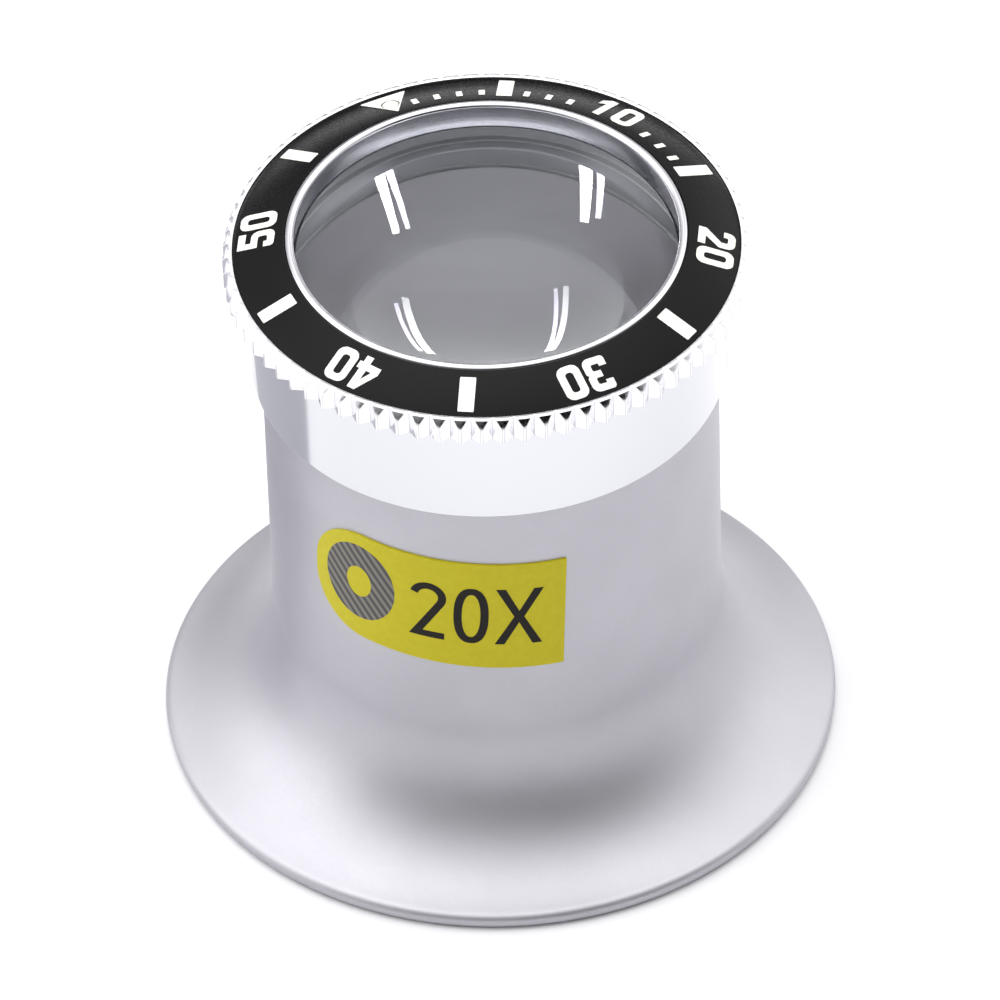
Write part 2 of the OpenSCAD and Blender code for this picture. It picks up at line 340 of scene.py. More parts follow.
# Polishing on the lathe leaves a bright surface with the last fine lines of the compound round it,
# about 0.02 mm apart and drawn at 0.1 mm so that they show. They follow the radius and the height.
polished, tree, shader = surface("lathe_polished_aluminium", Metallic=1, Roughness=0.12)
shader.inputs["Base Color"].default_value = hex_colour("#DBDBE0")
place = add(tree, "ShaderNodeTexCoord").outputs["Object"]
axes = add(tree, "ShaderNodeSeparateXYZ", {"Vector": place})
flat = add(tree, "ShaderNodeCombineXYZ", {"X": axes.outputs["X"], "Y": axes.outputs["Y"]})
radius = add(tree, "ShaderNodeVectorMath", {0: flat.outputs["Vector"]}, operation="LENGTH")
section = add(tree, "ShaderNodeCombineXYZ", {"X": radius.outputs["Value"], "Z": axes.outputs["Z"]})
lines = add(tree, "ShaderNodeTexNoise", {"Vector": section.outputs["Vector"], "Scale": 1 / (0.1 * mm),
                                         "Detail": 2})
gloss = add(tree, "ShaderNodeMapRange", {"Value": lines.outputs["Fac"], "From Min": 0.3, "From Max": 0.7,
                                         "To Min": 0.09, "To Max": 0.16})
hair = add(tree, "ShaderNodeBump", {"Height": lines.outputs["Fac"], "Strength": 0.06, "Distance": 0.004 * mm})
tree.links.new(gloss.outputs["Result"], shader.inputs["Roughness"])
tree.links.new(hair.outputs["Normal"], shader.inputs["Normal"])

groove_rows = [ceiling_z - (ceiling_z - shoulder_z - skirt_chamfer) * k / 80 for k in range(81)]
head = turned("head", (
    [(skirt_in_r + skirt_chamfer, shoulder_z)]
    + arc(skirt_r - skirt_edge_r, shoulder_z + skirt_edge_r, skirt_edge_r, -90, 0, 5)
    + [(skirt_r, bezel_seat_z), (collar_r, bezel_seat_z)]
    + arc(collar_r - lip_r, collar_top_z - lip_r, lip_r, 0, 180, 16)
    + arc(opening_r + opening_edge_r, ceiling_z + opening_edge_r, opening_edge_r, 180, 270, 4)
    + [(skirt_in_r, z) for z in groove_rows]), polished, thread=female_thread)
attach(head, "head")
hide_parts("head_cap")


# Coin-edge ring: aluminium, pressed on the head, with 78 straight vee grooves cut across its edge for the
# fingers and a steep bright chamfer turned along their top.
ring_low, ring_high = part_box("bezel_ring")
insert_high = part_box("bezel_insert")[1]
teeth = 78
tooth_crest = 0.14
tooth_depth = 0.4
tooth_edge = 0.025
crest_r = 14.3
land_r = 14.05
chamfer_h = 0.5
insert_r = insert_high.x / mm
ring_low_z = ring_low.z / mm
land_z = ring_high.z / mm
insert_in_z = insert_high.z / mm
insert_t = 0.6
insert_slope = math.radians(18)
insert_out_z = insert_in_z - (insert_r - collar_r) * math.tan(insert_slope)

# The tree sets copies of a small mesh round the optical axis and joins them where they meet.
round_tree = bpy.data.node_groups.new("set_round_the_axis", "GeometryNodeTree")
for socket, kind in (("Mesh", "NodeSocketGeometry"), ("Count", "NodeSocketInt"),
                     ("First angle", "NodeSocketFloat"), ("Step", "NodeSocketFloat"),
                     ("Finish", "NodeSocketMaterial")):
    round_tree.interface.new_socket(socket, in_out="INPUT", socket_type=kind)
round_tree.interface.new_socket("Mesh", in_out="OUTPUT", socket_type="NodeSocketGeometry")
sizes = add(round_tree, "NodeGroupInput").outputs
index = add(round_tree, "GeometryNodeInputIndex").outputs["Index"]
angle = add(round_tree, "ShaderNodeMath", {0: index, 1: sizes["Step"], 2: sizes["First angle"]},
            operation="MULTIPLY_ADD")
turn = add(round_tree, "ShaderNodeCombineXYZ", {"Z": angle.outputs["Value"]})
rotation = add(round_tree, "FunctionNodeEulerToRotation", {"Euler": turn.outputs["Vector"]})
places = add(round_tree, "GeometryNodePoints", {"Count": sizes["Count"]})
copies = add(round_tree, "GeometryNodeInstanceOnPoints",
             {"Points": places.outputs["Points"], "Instance": sizes["Mesh"],
              "Rotation": rotation.outputs["Rotation"]})
real = add(round_tree, "GeometryNodeRealizeInstances", {"Geometry": copies.outputs["Instances"]})
joined = add(round_tree, "GeometryNodeMergeByDistance",
             {"Geometry": real.outputs["Geometry"], "Distance": 0.002 * mm})
finished = add(round_tree, "GeometryNodeSetMaterial",
               {"Geometry": joined.outputs["Geometry"], "Material": sizes["Finish"]})
add(round_tree, "NodeGroupOutput", {"Mesh": finished.outputs["Geometry"]})


def set_round(mesh, finish, count, first, step):
    """Runs the tree on a small mesh and returns the result as one plain mesh."""
    holder = bpy.data.objects.new("holder", mesh)
    scene.collection.objects.link(holder)
    modifier = holder.modifiers.new("round", "NODES")
    modifier.node_group = round_tree
    values = {"Count": count, "First angle": first, "Step": step, "Finish": finish}
    for item in round_tree.interface.items_tree:
        if item.name in values:
            modifier[item.identifier] = values[item.name]
    made = bpy.data.meshes.new_from_object(holder.evaluated_get(bpy.context.evaluated_depsgraph_get()))
    bpy.data.objects.remove(holder)
    return made


# The grooves are cut bright and the ring is polished after it, so its facets mirror the room sharply,
# with a slightly softer sheen along the cutter's path, whose lines are drawn 0.08 mm apart.
bright_cut, tree, shader = surface("bright_cut_aluminium", Metallic=1, Roughness=0.14)
shader.inputs["Base Color"].default_value = hex_colour("#EFEFF4")
place = add(tree, "ShaderNodeTexCoord").outputs["Object"]
along = add(tree, "ShaderNodeMapping", {"Vector": place, "Scale": (1, 1, 0.08)})
feed = add(tree, "ShaderNodeTexNoise", {"Vector": along.outputs["Vector"], "Scale": 1 / (0.08 * mm),
                                        "Detail": 2})
gloss = add(tree, "ShaderNodeMapRange", {"Value": feed.outputs["Fac"], "From Min": 0.3, "From Max": 0.7,
                                         "To Min": 0.1, "To Max": 0.2})
score = add(tree, "ShaderNodeBump", {"Height": feed.outputs["Fac"], "Strength": 0.05, "Distance": 0.004 * mm})
tree.links.new(gloss.outputs["Result"], shader.inputs["Roughness"])
tree.links.new(score.outputs["Normal"], shader.inputs["Normal"])

pitch_angle = 2 * math.pi / teeth
crest_angle = math.asin(tooth_crest / 2 / crest_r)
crest = Vector((crest_r * math.cos(crest_angle), crest_r * math.sin(crest_angle)))
valley = Vector((math.cos(pitch_angle / 2), math.sin(pitch_angle / 2))) * (crest_r - tooth_depth)
side = [crest.lerp(valley, k / 200) for k in range(201)]
land_corner = min(side, key=lambda spot: abs(spot.length - land_r))
half_tooth = [(crest_angle, crest_r), (math.atan2(land_corner.y, land_corner.x), land_r),
              (pitch_angle / 2, crest_r - tooth_depth)]
chamfer_slope = chamfer_h / (crest_r - land_r)
columns = []
for a, r in [(-a, r) for a, r in reversed(half_tooth)] + half_tooth:
    top_r = min(r, land_r)
    section = [(skirt_r, ring_low_z), (r, ring_low_z), (r, land_z - (r - top_r) * chamfer_slope),
               (top_r, land_z), (insert_r, land_z), (insert_r, insert_out_z - insert_t),
               (collar_r, insert_in_z - insert_t), (collar_r, bezel_seat_z), (skirt_r, bezel_seat_z)]
    columns.append([(x * math.cos(a) * mm, x * math.sin(a) * mm, z * mm) for x, z in section])
corners = len(columns[0])
tooth = bpy.data.meshes.new("tooth")
tooth.from_pydata([p for column in columns for p in column], [],
                  [[c * corners + k, (c + 1) * corners + k,
                    (c + 1) * corners + (k + 1) % corners, c * corners + (k + 1) % corners]
                   for c in range(len(columns) - 1) for k in range(corners)])
coin_edge_mesh = set_round(tooth, bright_cut, teeth, 0.0, pitch_angle)
edges = bmesh.new()
edges.from_mesh(coin_edge_mesh)
sharp = [e for e in edges.edges if e.is_manifold and e.calc_face_angle() > math.radians(20)]
bmesh.ops.bevel(edges, geom=sharp, offset=tooth_edge * mm, segments=2, profile=0.5, affect="EDGES",
                clamp_overlap=True)
edges.to_mesh(coin_edge_mesh)
edges.free()
coin_edge = part("coin_edge", coin_edge_mesh, bright_cut)
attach(coin_edge, "head")
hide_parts("bezel_ring")


# Scale ring: a thin sloping aluminium ring, black with a soft gloss, glued in the recess of the coin-edge
# ring. Its outer edge sits just below the bright land.
insert_edge = 0.06
insert_edge_drop = 0.05
insert_edge_rise = 0.02
insert_lip_drop = 0.022

# Black anodising under clear lacquer: a deep black, with a faint brushing across the ring that only shows
# where a lamp catches it. The brush lines fan out from the axis, a third of a degree apart.
black_gloss, tree, shader = surface("lacquered_black_anodising", Roughness=0.2, Specular_IOR_Level=0.12)
shader.inputs["Base Color"].default_value = hex_colour("#08080A")
place = add(tree, "ShaderNodeTexCoord").outputs["Object"]
fan = add(tree, "ShaderNodeVectorMath", {0: place}, operation="NORMALIZE")
spread = add(tree, "ShaderNodeMapping", {"Vector": fan.outputs["Vector"], "Scale": (1, 1, 0)})
brush = add(tree, "ShaderNodeTexNoise", {"Vector": spread.outputs["Vector"], "Scale": 180, "Detail": 3})
gloss = add(tree, "ShaderNodeMapRange", {"Value": brush.outputs["Fac"], "From Min": 0.3, "From Max": 0.7,
                                         "To Min": 0.2, "To Max": 0.34})
hairs = add(tree, "ShaderNodeBump", {"Height": brush.outputs["Fac"], "Strength": 0.08, "Distance": 0.01 * mm})
tree.links.new(gloss.outputs["Result"], shader.inputs["Roughness"])
tree.links.new(hairs.outputs["Normal"], shader.inputs["Normal"])

scale_ring = turned("scale_ring", [
    (collar_r, insert_in_z - insert_t), (insert_r, insert_out_z - insert_t),
    (insert_r, insert_out_z - insert_edge_drop), (insert_r - insert_edge, insert_out_z + insert_edge_rise),
    (collar_r + insert_edge, insert_in_z - insert_lip_drop),
    (collar_r, insert_in_z - insert_edge_drop)], black_gloss)
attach(scale_ring, "head")
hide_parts("bezel_insert")


# Scale: broad bars, square figures and a triangle at zero, engraved in the ring and filled with white
# lacquer, which stands a hair proud. Minutes run anticlockwise, and the figures face outwards.
zero_angle = 204
minute_step = 6
bar_w = 0.86
bar_in, bar_out = 0.52, 2.62
tick_w = 0.34
tick_in, tick_out = 0.67, 1.32
bar_corner_r = 0.06
tick_corner_r = 0.05
triangle_tip = 0.36
triangle_half = 1.35
pearl_hole_r = 0.52
figure_w = 1.3
figure_h = 2.1
figure_in = 0.53
figure_gap = 0.22
lacquer_t = 0.05

# Filled lacquer is an ivory white, a little uneven, with the soft gloss of paint.
white_fill, tree, shader = surface("white_lacquer_fill", Roughness=0.38)
place = add(tree, "ShaderNodeTexCoord").outputs["Object"]
flow = add(tree, "ShaderNodeTexNoise", {"Vector": place, "Scale": 1 / (0.5 * mm), "Detail": 3})
tone = add(tree, "ShaderNodeValToRGB", {"Fac": flow.outputs["Fac"]})
tone.color_ramp.elements[0].position, tone.color_ramp.elements[1].position = 0.3, 0.7
tone.color_ramp.elements[0].color = hex_colour("#E6E3DA")
tone.color_ramp.elements[1].color = hex_colour("#F1EFE9")
crown = add(tree, "ShaderNodeBump", {"Height": flow.outputs["Fac"], "Strength": 0.1, "Distance": 0.02 * mm})
tree.links.new(tone.outputs["Color"], shader.inputs["Base Color"])
tree.links.new(crown.outputs["Normal"], shader.inputs["Normal"])


def rounded(corners, steps=4):
    """An outline through corners of (x, y, radius), each rounded by its radius."""
    outline = []
    for i, (x, y, r) in enumerate(corners):
        corner = Vector((x, y))
        if not r:
            outline.append(corner)
            continue
        before = (Vector(corners[i - 1][:2]) - corner).normalized()
        after = (Vector(corners[(i + 1) % len(corners)][:2]) - corner).normalized()
        half = before.angle(after) / 2
        centre = corner + (before + after).normalized() * (r / math.sin(half))
        start, end = (corner + side * (r / math.tan(half)) - centre for side in (before, after))
        outline += [centre + start.lerp(end, k / steps).normalized() * r for k in range(steps + 1)]
    return outline


def flat_figure(outlines, thickness):
    """A figure from its outline and the outlines of its holes, as a mesh in mm with that thickness."""
    curve = bpy.data.curves.new("figure", "CURVE")
    curve.dimensions = "2D"
    curve.fill_mode = "BOTH"
    curve.extrude = thickness / 2
    for outline in outlines:
        spline = curve.splines.new("POLY")
        spline.points.add(len(outline) - 1)
        spline.use_cyclic_u = True
        for point, (x, y) in zip(spline.points, outline):
            point.co = (x, y, 0, 1)
    holder = bpy.data.objects.new("figure", curve)
    scene.collection.objects.link(holder)
    mesh = bpy.data.meshes.new_from_object(holder.evaluated_get(bpy.context.evaluated_depsgraph_get()))
    bpy.data.objects.remove(holder)
    return mesh


def laid(mesh, rule, strip=0.4):
    """Cuts a flat figure in strips, and bends it by a rule from mm on the flat to metres on the object."""
    solid = bmesh.new()
    solid.from_mesh(mesh)
    bmesh.ops.remove_doubles(solid, verts=solid.verts, dist=1e-4)
    left = min(v.co.x for v in solid.verts)
    for k in range(1, int((max(v.co.x for v in solid.verts) - left) / strip) + 1):
        bmesh.ops.bisect_plane(solid, geom=solid.verts[:] + solid.edges[:] + solid.faces[:],
                               plane_co=(left + strip * k, 0, 0), plane_no=(1, 0, 0))
    for v in solid.verts:
        v.co = rule(*v.co)
    bmesh.ops.recalc_face_normals(solid, faces=solid.faces)
    solid.to_mesh(mesh)
    solid.free()
    return mesh


def on_scale(degrees):
    """The rule that lays a figure on the scale ring's slope: x along the reading, y out from the collar."""
    a = math.radians(degrees)
    out, back = Vector((math.sin(a), -math.cos(a))), Vector((math.cos(a), math.sin(a)))

    def rule(x, y, h):
        spot = out * (collar_r + y * math.cos(insert_slope)) - back * x
        z = insert_in_z - (spot.length - collar_r) * math.tan(insert_slope) + h
        return Vector((*spot, z)) * mm
    return rule


def box_outline(x0, y0, x1, y1, r=0.0):
    """A rectangle's outline with rounded corners."""
    return rounded([(x0, y0, r), (x1, y0, r), (x1, y1, r), (x0, y1, r)])


bar_outline = box_outline(-bar_w / 2, bar_in, bar_w / 2, bar_out, bar_corner_r)
bar = laid(flat_figure([bar_outline], lacquer_t), on_scale(90))
last_bar = math.radians(zero_angle - 90 - 35 * minute_step)
bars = part("scale_bars", set_round(bar, white_fill, 6, last_bar, math.radians(10 * minute_step)), white_fill)
tick_outline = box_outline(-tick_w / 2, tick_in, tick_w / 2, tick_out, tick_corner_r)
tick = laid(flat_figure([tick_outline], lacquer_t), on_scale(90))

# The figures are drawn in a box 1.3 mm wide and 2.1 mm tall, with strokes of about 0.42 mm. Each corner of an
# outline has its place and its rounding.
s, w, h = 0.42, figure_w, figure_h
m = h / 2
strokes = {
    "0": [box_outline(0, 0, w, h, 0.45), box_outline(s, s, w - s, h - s, 0.18)],
    "1": [rounded([(0.5, 0, 0), (0.92, 0, 0), (0.92, h, 0), (0.55, h, 0), (0.12, h - 0.38, 0),
                   (0.12, h - 0.85, 0), (0.5, h - 0.58, 0)])],
    "2": [rounded([(0, 0, 0), (w, 0, 0), (w, s, 0), (0.62, s, 0), (w, 1.2, 0.15), (w, h, 0.45), (0, h, 0.4),
                   (0, 1.42, 0), (s, 1.42, 0), (s, h - s, 0.08), (w - s, h - s, 0.12), (w - s, 1.32, 0.08),
                   (0, 0.42, 0)])],
    "3": [rounded([(0, 0, 0.2), (w, 0, 0.4), (w, m - 0.02, 0.2), (w - 0.16, m, 0), (w, m + 0.02, 0.2),
                   (w, h, 0.4), (0, h, 0.2), (0, 1.5, 0), (s, 1.5, 0), (s, h - s, 0.04), (w - s, h - s, 0.12),
                   (w - s, m + 0.2, 0.1), (0.45, m + 0.2, 0), (0.45, m - 0.2, 0), (w - s, m - 0.2, 0.1),
                   (w - s, s, 0.12), (s, s, 0.04), (s, 0.6, 0), (0, 0.6, 0)])],
    "4": [rounded([(0.74, 0, 0), (1.16, 0, 0), (1.16, 0.42, 0), (w + 0.05, 0.42, 0), (w + 0.05, 0.84, 0),
                   (1.16, 0.84, 0), (1.16, h, 0), (0.7, h, 0), (0, 0.84, 0), (0, 0.42, 0), (0.74, 0.42, 0)]),
          [(0.4, 0.84), (0.74, 0.84), (0.74, 1.46)]],
    "5": [rounded([(0, 0, 0.2), (w, 0, 0.42), (w, 1.36, 0.42), (s, 1.36, 0.04), (s, h - s, 0),
                   (w - 0.08, h - s, 0), (w - 0.08, h, 0), (0, h, 0), (0, 0.96, 0), (w - s, 0.96, 0.14),
                   (w - s, s, 0.14), (s, s, 0.04), (s, 0.6, 0), (0, 0.6, 0)])],
}


def joined_mesh(name, meshes):
    """One mesh from several."""
    whole = bmesh.new()
    for mesh in meshes:
        whole.from_mesh(mesh)
    result = bpy.data.meshes.new(name)
    whole.to_mesh(result)
    whole.free()
    return result


ticks = part("scale_ticks", joined_mesh("scale_ticks", [
    set_round(tick, white_fill, count, math.radians(zero_angle - 90 - minute * minute_step),
              math.radians(-minute_step))
    for minute, count in ((1, 4), (6, 3), (12, 3))]), white_fill)
figures = []
for minute in (10, 20, 30, 40, 50):
    for place_x, digit in zip((-figure_gap / 2 - figure_w, figure_gap / 2), str(minute)):
        outlines = [[(x + place_x, y + figure_in) for x, y in outline] for outline in strokes[digit]]
        figures.append(laid(flat_figure(outlines, lacquer_t), on_scale(zero_angle - minute * minute_step)))
pearl_y = (insert_r - collar_r) / 2 / math.cos(insert_slope)
pearl_hole = arc(0, pearl_y, pearl_hole_r, 0, 360, 32)[:-1]
triangle = rounded([(0, triangle_tip, tick_corner_r), (triangle_half, bar_out, tick_corner_r),
                    (-triangle_half, bar_out, tick_corner_r)])
figures.append(laid(flat_figure([triangle, pearl_hole], lacquer_t), on_scale(zero_angle)))
numbers = part("scale_figures", joined_mesh("scale_figures", figures), white_fill)
for marking in (bars, ticks, numbers):
    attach(marking, "head")


# Pearl: a small domed bead of luminous plastic, set in a drilled pocket at the zero of the scale.
pearl_r = 0.45
pearl_rise = 0.15
pearl_depth = 0.3
pearl_dome_r = (pearl_r ** 2 + pearl_rise ** 2) / (2 * pearl_rise)

# Cast resin with a pale green-white pigment: it glows softly inside under a clear skin.
resin, tree, shader = surface("cast_luminous_resin", Roughness=0.14, Subsurface_Weight=0.3,
                              Subsurface_Scale=0.3 * mm)
place = add(tree, "ShaderNodeTexCoord").outputs["Object"]
pigment = add(tree, "ShaderNodeTexNoise", {"Vector": place, "Scale": 1 / (0.15 * mm), "Detail": 2})
tone = add(tree, "ShaderNodeValToRGB", {"Fac": pigment.outputs["Fac"]})
tone.color_ramp.elements[0].position, tone.color_ramp.elements[1].position = 0.3, 0.7
tone.color_ramp.elements[0].color = hex_colour("#E4E6D6")
tone.color_ramp.elements[1].color = hex_colour("#F0F0E4")
tree.links.new(tone.outputs["Color"], shader.inputs["Base Color"])

pearl_edge = math.degrees(math.asin(pearl_r / pearl_dome_r))
pearl = turned("zero_pearl", (
    [(0, -pearl_depth), (pearl_r, -pearl_depth)]
    + arc(0, pearl_rise - pearl_dome_r, pearl_dome_r, 90 - pearl_edge, 90, 10)[:-1]
    + [(0, pearl_rise)]), resin, sides=48)
pearl_x = (collar_r + insert_r) / 2
pearl.data.transform(
    Matrix.Rotation(math.radians(zero_angle - 90), 4, "Z")
    @ Matrix.Translation(Vector((pearl_x, 0, (insert_in_z + insert_out_z) / 2)) * mm)
    @ Matrix.Rotation(insert_slope, 4, "Y"))
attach(pearl, "head")
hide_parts("bezel_pearl")


# Label: printed vinyl, die cut with two round corners and stuck round the tube by hand, so it sits a little
# askew. It gives the magnification, with a plain drawing of a lens beside it.
label_low, label_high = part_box("magnification_label")
label_h = (label_high.z - label_low.z) / mm
label_drop = 0.2
label_mid_z = (label_high.z + label_low.z) / mm / 2 - label_drop
label_t = 0.12
label_chord = 14
label_facing = -17
label_askew = math.radians(2.5)
label_corner_r = 3.4
label_half = math.asin(label_chord / 2 / (tube_r + label_t)) * (tube_r + label_t)

# Cast vinyl in a strong yellow with a satin overlay: faintly mottled print and an orange-peel skin of 0.4 mm.
vinyl, tree, shader = surface("printed_yellow_vinyl", Roughness=0.42, Specular_IOR_Level=0.22)
place = add(tree, "ShaderNodeTexCoord").outputs["Object"]
mottle = add(tree, "ShaderNodeTexNoise", {"Vector": place, "Scale": 1 / (0.4 * mm), "Detail": 3})
tone = add(tree, "ShaderNodeValToRGB", {"Fac": mottle.outputs["Fac"]})
tone.color_ramp.elements[0].position, tone.color_ramp.elements[1].position = 0.3, 0.7
tone.color_ramp.elements[0].color = hex_colour("#B9AE10")
tone.color_ramp.elements[1].color = hex_colour("#C0B516")
peel = add(tree, "ShaderNodeBump", {"Height": mottle.outputs["Fac"], "Strength": 0.12, "Distance": 0.01 * mm})
tree.links.new(tone.outputs["Color"], shader.inputs["Base Color"])
tree.links.new(peel.outputs["Normal"], shader.inputs["Normal"])

# Screen ink: near black and slightly matt, with the grain of the screen at 0.3 mm.
# The drawing of the lens is printed in a half tone, as slanting lines 0.4 mm apart that run together.
black_ink, tree, shader = surface("screen_printed_black_ink", Roughness=0.6, Specular_IOR_Level=0.15)
place = add(tree, "ShaderNodeTexCoord").outputs["Object"]
screen = add(tree, "ShaderNodeTexNoise", {"Vector": place, "Scale": 1 / (0.3 * mm), "Detail": 3})
tone = add(tree, "ShaderNodeValToRGB", {"Fac": screen.outputs["Fac"]})
tone.color_ramp.elements[0].color = hex_colour("#1A1815")
tone.color_ramp.elements[1].color = hex_colour("#24211D")
tree.links.new(tone.outputs["Color"], shader.inputs["Base Color"])

grey_ink, tree, shader = surface("half_tone_grey_ink", Roughness=0.6, Specular_IOR_Level=0.15)
place = add(tree, "ShaderNodeTexCoord").outputs["Object"]
slant = add(tree, "ShaderNodeVectorMath", {0: place, 1: (1.6, 0, 1)}, operation="DOT_PRODUCT")
lines = add(tree, "ShaderNodeMath", {0: slant.outputs["Value"], 1: 2 * math.pi / (0.75 * mm)},
            operation="MULTIPLY")
wave = add(tree, "ShaderNodeMath", {0: lines.outputs["Value"]}, operation="SINE")
share = add(tree, "ShaderNodeMapRange", {"Value": wave.outputs["Value"], "From Min": -1})
tone = add(tree, "ShaderNodeValToRGB", {"Fac": share.outputs["Result"]})
tone.color_ramp.elements[0].color = hex_colour("#4A484C")
tone.color_ramp.elements[1].color = hex_colour("#817E76")
tree.links.new(tone.outputs["Color"], shader.inputs["Base Color"])


def on_tube(x, y, depth):
    """The rule that wraps a figure round the tube: x along the label and y up, both from its middle."""
    along = x * math.cos(label_askew) + y * math.sin(label_askew)
    up = y * math.cos(label_askew) - x * math.sin(label_askew)
    a = math.radians(label_facing) + along / (tube_r + label_t)
    r = tube_r + depth
    return Vector((r * math.sin(a), -r * math.cos(a), label_mid_z + up)) * mm


label_columns = [-label_half + label_corner_r * (1 - math.cos(math.pi / 2 * k / 20)) for k in range(20)]
straight = 2 * label_half - label_corner_r
label_columns += [label_half - straight * (1 - k / 40) for k in range(41)]
label_points, label_faces = [], []
for x in label_columns:
    inset = max(0, label_corner_r - (x + label_half))
    half_h = label_h / 2 - label_corner_r + math.sqrt(label_corner_r ** 2 - inset ** 2)
    label_points += [on_tube(x, -half_h, 0), on_tube(x, half_h, 0),
                     on_tube(x, half_h, label_t), on_tube(x, -half_h, label_t)]
for c in range(0, len(label_points) - 4, 4):
    label_faces += [[c + k, c + (k + 1) % 4, c + 4 + (k + 1) % 4, c + 4 + k] for k in range(4)]
label_faces += [[0, 1, 2, 3], [len(label_points) - 4 + k for k in (3, 2, 1, 0)]]
label_mesh = bpy.data.meshes.new("label")
label_mesh.from_pydata(label_points, [], label_faces)
solid = bmesh.new()
solid.from_mesh(label_mesh)
bmesh.ops.recalc_face_normals(solid, faces=solid.faces)
solid.to_mesh(label_mesh)
solid.free()
label = part("label", label_mesh, vinyl)
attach(label, "barrel")
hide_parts("magnification_label")


def stroke(points, width):
    """The outline of a pen stroke of one width along points, with square ends."""
    points = [Vector(p) for p in points]
    ways = [(b - a).normalized() for a, b in zip(points, points[1:])]
    across = [Vector((-way.y, way.x)) for way in ways]
    pairs = zip(across[:1] + across, across + across[-1:])
    sides = [(a + b) * (width / 2) / (1 + a.dot(b)) for a, b in pairs]
    left = [p + side for p, side in zip(points, sides)]
    right = [p - side for p, side in zip(points, sides)]
    return left + right[::-1]


def oval(x, y, rx, ry, power=2.0, steps=48):
    """The outline of an oval, squarer as the power rises."""
    circle = arc(0, 0, 1, 0, 360, steps)[:-1]
    return [(x + rx * math.copysign(abs(c) ** (2 / power), c),
             y + ry * math.copysign(abs(s) ** (2 / power), s)) for c, s in circle]


ink_t = 0.02
pen = 0.45
cap_h = 4.06
text_w = 7.35
text_margin = 1.2
text_x = label_half - text_margin - text_w
nought_x, ex_x = text_x + 2.42, text_x + 4.7
drawing_x, drawing_y = -label_half + 3.1, 0.3
drawn_lens = [oval(0, 0, 2.25, 2.7), oval(0, 0, 0.8, 1.1)]
two = stroke(arc(0.98, cap_h - 1.04, 0.8, 168, -32, 18) + [(0.33, pen / 2), (1.94, pen / 2)], pen)
mid_h = cap_h / 2
nought_half = 0.96
nought = [oval(nought_half, mid_h, nought_half, mid_h, 2.4),
          oval(nought_half, mid_h, nought_half - pen, mid_h - pen, 2.2)]
ex_w, foot, cross, notch = 2.6, 0.53, 0.27, 0.42
ex_mid = ex_w / 2
ex = [(0, 0), (foot, 0), (ex_mid, mid_h - notch), (ex_w - foot, 0), (ex_w, 0), (ex_mid + cross, mid_h),
      (ex_w, cap_h), (ex_w - foot, cap_h), (ex_mid, mid_h + notch), (foot, cap_h), (0, cap_h),
      (ex_mid - cross, mid_h)]
drawings = [("label_print", black_ink, [([two], text_x, -mid_h), (nought, nought_x, -mid_h),
                                       ([ex], ex_x, -mid_h)]),
            ("label_drawing", grey_ink, [(drawn_lens, drawing_x, drawing_y)])]
for name, ink, figures in drawings:
    prints = []
    for outlines, dx, dy in figures:
        moved = [[(x + dx, y + dy) for x, y in outline] for outline in outlines]
        prints.append(laid(flat_figure(moved, ink_t), lambda x, y, d: on_tube(x, y, label_t + d)))
    drawing = part(name, joined_mesh(name, prints), ink)
    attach(drawing, "barrel")


# Studio: a white acrylic table. Under the cup only it glows, a painted glow that stands in for light from
# below, so that the glass has an even veil. The room lights it white all round, and it keeps the loupe's soft
# shadow.
glow_disc_r = 15
glow_disc_edge = 1
glow_disc_strength = 0.33
acrylic, tree, shader = surface("matt_white_acrylic_painted_glow", Roughness=0.9, Specular_IOR_Level=0.1)
place = add(tree, "ShaderNodeTexCoord").outputs["Object"]
fibre = add(tree, "ShaderNodeTexNoise", {"Vector": place, "Scale": 1 / (3 * mm), "Detail": 5})
tone = add(tree, "ShaderNodeValToRGB", {"Fac": fibre.outputs["Fac"]})
tone.color_ramp.elements[0].color = hex_colour("#E6E6E8")
tone.color_ramp.elements[1].color = hex_colour("#E9E9EB")
# Painted glow: the table emits white in a disc round the axis under the cup, fading out over its edge.
shader.inputs["Emission Color"].default_value = (1, 1, 1, 1)
away = add(tree, "ShaderNodeVectorMath", {0: place}, operation="LENGTH")
glow_disc = add(tree, "ShaderNodeMapRange", {"Value": away.outputs["Value"], "From Min": glow_disc_r * mm,
                                          "From Max": (glow_disc_r + glow_disc_edge) * mm,
                                          "To Min": glow_disc_strength, "To Max": 0})
tree.links.new(glow_disc.outputs["Result"], shader.inputs["Emission Strength"])
tree.links.new(tone.outputs["Color"], shader.inputs["Base Color"])


def sheet(name, x0, y0, x1, y1, z, material):
    """A flat sheet of the studio, level at a height, from one corner to another in mm."""
    corners = [Vector((x, y, z)) * mm for x, y in ((x0, y0), (x1, y0), (x1, y1), (x0, y1))]
    mesh = bpy.data.meshes.new(name)
    mesh.from_pydata(corners, [], [(0, 1, 2, 3)])
    mesh.materials.append(material)
    flat = bpy.data.objects.new(name, mesh)
    scene.collection.objects.link(flat)
    return flat


sheet("table", -1000, -1000, 1000, 1000, -0.02, acrylic)

# A grey card lies on the table at the left. Only the polished metal shows it, as a darker side of the head: a
# painted reflection.
card_grey, tree, shader = surface("matt_grey_card_painted_reflection", Roughness=0.9, Specular_IOR_Level=0.1)
shader.inputs["Base Color"].default_value = hex_colour("#A2A2A8")
card = sheet("card", -95, -1.5, -20.5, 70, 0.3, card_grey)
# Painted reflection: the card is hidden from the camera, from diffuse and transmitted light and from shadows,
# so only glossy rays see it.
card.visible_camera = card.visible_diffuse = card.visible_shadow = card.visible_transmission = False

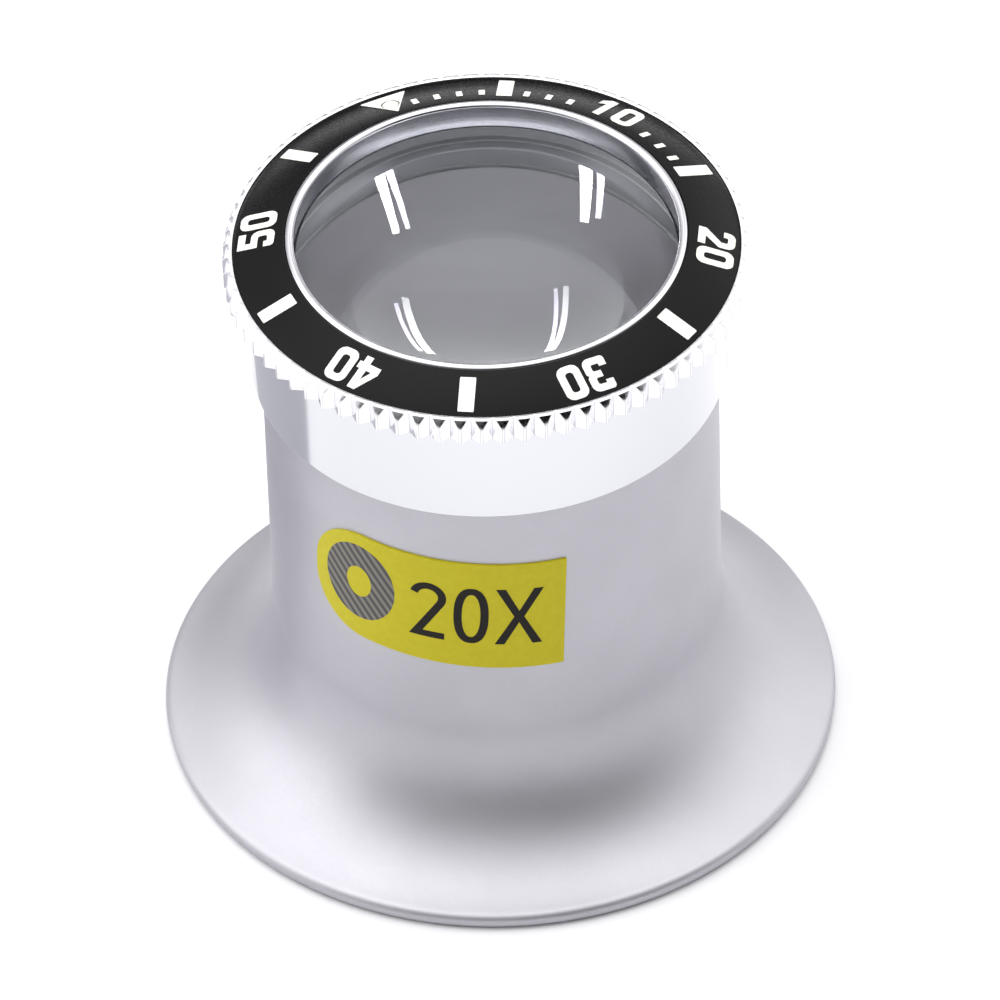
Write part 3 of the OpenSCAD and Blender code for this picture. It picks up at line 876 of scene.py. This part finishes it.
# The room is lit softly from both hands and from above, and is dark on the camera's side and behind. Each
# glow has its azimuth from the camera's side, its elevation, the angle over which it fades out, and its
# strength in the middle.
glow_core = 0.987
room = bpy.data.worlds.new("room")
room.use_nodes = True
tree = room.node_tree
towards = add(tree, "ShaderNodeTexCoord").outputs["Generated"]
light = 0.0
for azimuth, elevation, reach, strength in ((90, 14, 40, 0.54), (120, 14, 40, 0.74), (150, 14, 40, 0.36),
                                            (-90, 14, 40, 1.65), (120, 50, 60, 0.76), (-120, 50, 60, 1.07),
                                            (-60, 50, 60, 0.35), (0, 90, 60, 1.6)):
    a, e = math.radians(azimuth), math.radians(elevation)
    place = (math.cos(e) * math.sin(a), -math.cos(e) * math.cos(a), math.sin(e))
    aim = add(tree, "ShaderNodeVectorMath", {0: towards, 1: place}, operation="DOT_PRODUCT")
    fade = math.cos(math.radians(reach))
    glow = add(tree, "ShaderNodeMapRange", {"Value": aim.outputs["Value"], "From Min": fade,
                                            "From Max": glow_core, "To Max": strength},
               interpolation_type="SMOOTHSTEP")
    both = add(tree, "ShaderNodeMath", {0: glow.outputs["Result"], 1: light}, operation="ADD")
    light = both.outputs["Value"]

# A low white wall closes the room off all round. Its edge fades between two heights of the view's direction.
wall_edge_low, wall_edge_high = 0.058, 0.07
axes = add(tree, "ShaderNodeSeparateXYZ", {"Vector": towards})
above = add(tree, "ShaderNodeMapRange", {"Value": axes.outputs["Z"], "From Min": wall_edge_low,
                                         "From Max": wall_edge_high})
level = add(tree, "ShaderNodeMix", {"Factor": above.outputs["Result"], "A": 1.0, "B": light},
            data_type="FLOAT")
tree.links.new(level.outputs["Result"], tree.nodes["Background"].inputs["Strength"])
tree.nodes["Background"].inputs["Color"].default_value = (1, 1, 1, 1)
scene.world = room


# Two twin tubes of light stand behind the loupe and lean apart. They light the glass alone and give the
# streaks in the dome.
tube_behind = 300
lavender = (0.9, 0.87, 1)
glass_alone = bpy.data.collections.new("glass_alone")
for lens_name in ("glass_lower", "glass_upper"):
    glass_alone.objects.link(bpy.data.objects[lens_name])


def light_tube(name, x, z, width, length, lean, brightness, tint=(1, 1, 1)):
    """An upright tube of light behind the loupe that leans to the side, with the brightness of its face."""
    lamp = bpy.data.lights.new(name, "AREA")
    lamp.shape = "RECTANGLE"
    lamp.size, lamp.size_y = width * mm, length * mm
    lamp.energy = brightness * math.pi * width * length * mm * mm
    lamp.color = tint
    tube = bpy.data.objects.new(name, lamp)
    tube.location = Vector((x, tube_behind, z)) * mm
    tube.rotation_euler = (math.radians(-90), math.radians(lean), 0)
    tube.visible_camera = False
    tube.light_linking.receiver_collection = glass_alone
    scene.collection.objects.link(tube)


light_tube("tube_left", -75.8, 179, 7, 202, -8.7, 66)
light_tube("tube_left_second", -66.5, 177, 5, 198, -6.5, 36, lavender)
light_tube("tube_right", 75.9, 172, 9, 177, 12.4, 66)
light_tube("tube_right_second", 86.1, 167, 5.4, 150, 13.8, 29, lavender)
